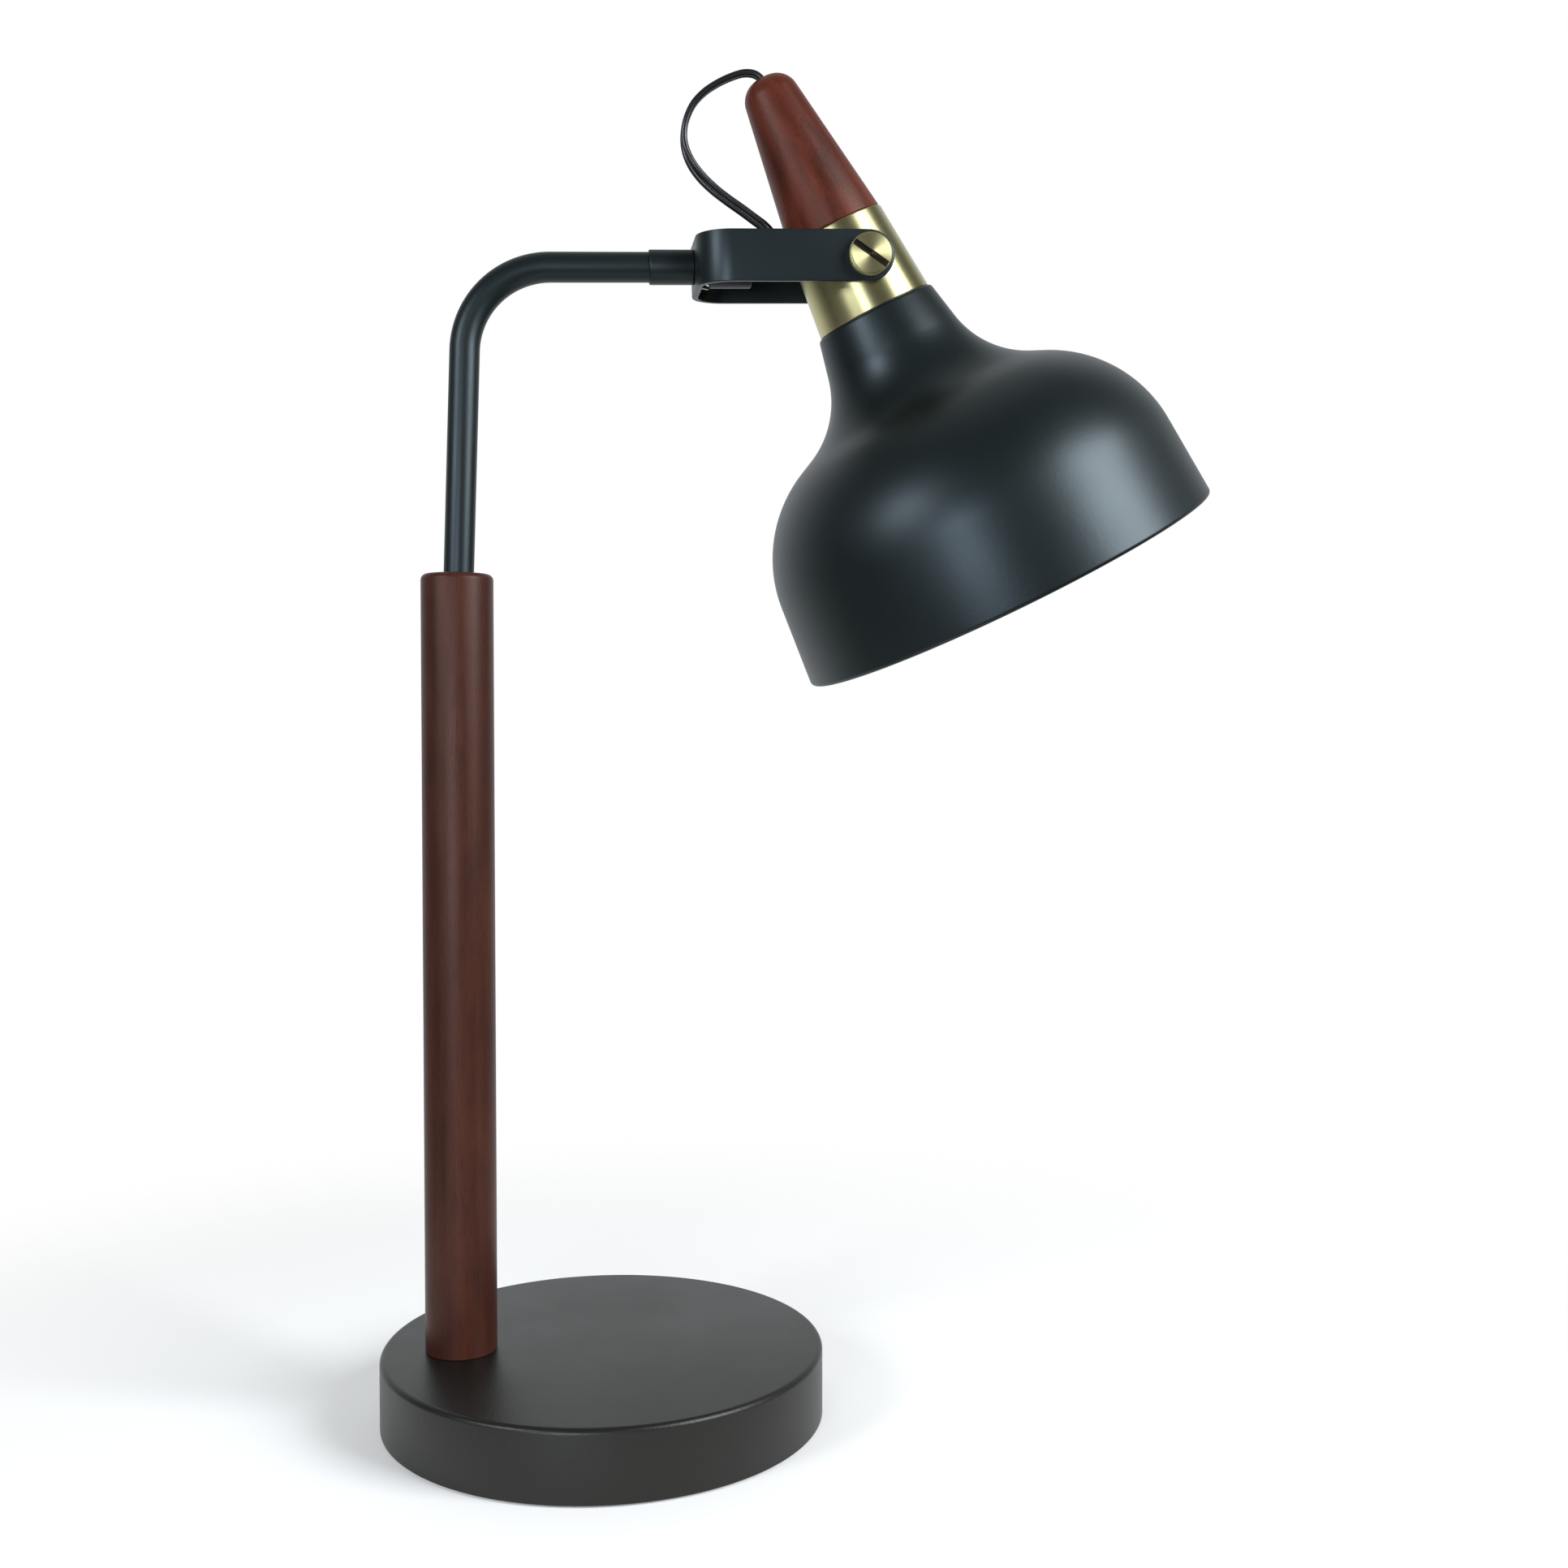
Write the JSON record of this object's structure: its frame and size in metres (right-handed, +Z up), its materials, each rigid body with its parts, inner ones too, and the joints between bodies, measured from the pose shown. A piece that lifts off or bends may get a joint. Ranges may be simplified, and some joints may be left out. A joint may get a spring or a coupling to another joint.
{
  "type": "desk lamp",
  "caption": "Desk lamp with a round weighted foot, a wooden post, a bent tube arm, and a bell shade with a wooden handle that tilts in a flat-bar yoke.",
  "frame": {"origin": "centre of the underside of the foot, on the table", "axes": "+Z up, +X along the arm from the post towards the head, +Y away from the side that the picture shows"},
  "size_m": [0.3386, 0.188, 0.5416],
  "materials": {
    "black_paint": "satin black powder coat on steel",
    "cast_iron": "rough grey casting",
    "steel": "plain rolled steel",
    "zinc": "bright zinc plate",
    "foam": "matt black foam rubber",
    "black_plastic": "moulded black plastic, satin",
    "cord": "black plastic cord jacket, satin",
    "fibre": "black fibre washer",
    "wood": "turned hardwood, dark red-brown stain, satin lacquer",
    "brass": "brushed pale brass",
    "porcelain": "white glazed porcelain",
    "bulb_plastic": "white moulded plastic",
    "opal": "white translucent diffuser",
    "nickel": "nickel-plated screw cap"
  },
  "bodies": {
    "stand": {"base_shell": "black_paint", "base_weight": "cast_iron", "base_plate": "steel", "plate_screws": "zinc", "base_pad": "foam", "inlet_bushing": "black_plastic", "wood_post": "wood", "post_pipe": "zinc", "pipe_nut": "zinc", "pipe_washer": "zinc", "leg_plug": "steel", "arm_tube": "black_paint", "arm_plug": "steel", "arm_sleeve": "black_paint", "yoke": "black_paint", "yoke_pipe": "zinc", "tooth_washer": "zinc", "cord_grip": "black_plastic", "grip_screw": "black_plastic", "inner_lead": "cord", "loop_cord": "cord"},
    "head": {"neck_collar": "brass", "wood_handle": "wood", "handle_insert": "brass", "head_stem": "zinc", "clamp_nut": "zinc", "shade": "black_paint", "friction_washer_near": "fibre", "friction_washer_far": "fibre", "holder_cap": "black_plastic", "holder_skirt": "black_plastic", "holder_core": "porcelain", "holder_shell": "brass", "holder_contact": "brass", "head_lead": "cord", "bulb_neck": "bulb_plastic", "bulb_diffuser": "opal", "bulb_cap": "nickel"},
    "screw_near": {"pivot_screw_near": "brass"},
    "screw_far": {"pivot_screw_far": "brass"}
  },
  "joints": [
    {"name": "head_tilt", "type": "hinge", "parent": "stand", "child": "head", "pos_m": [0.105, 0, 0.466], "axis": [-0.0019, 0.998, 0.0628], "range_deg": [-12, 35], "deforming": ["loop_cord"]},
    {"name": "screw_near_turn", "type": "hinge", "parent": "head", "child": "screw_near", "pos_m": [0.105, 0, 0.466], "axis": [0.0019, -0.998, -0.0628], "range_deg": [0, 180]},
    {"name": "screw_far_turn", "type": "hinge", "parent": "head", "child": "screw_far", "pos_m": [0.105, 0, 0.466], "axis": [-0.0019, 0.998, 0.0628], "range_deg": [0, 180]}
  ]
}
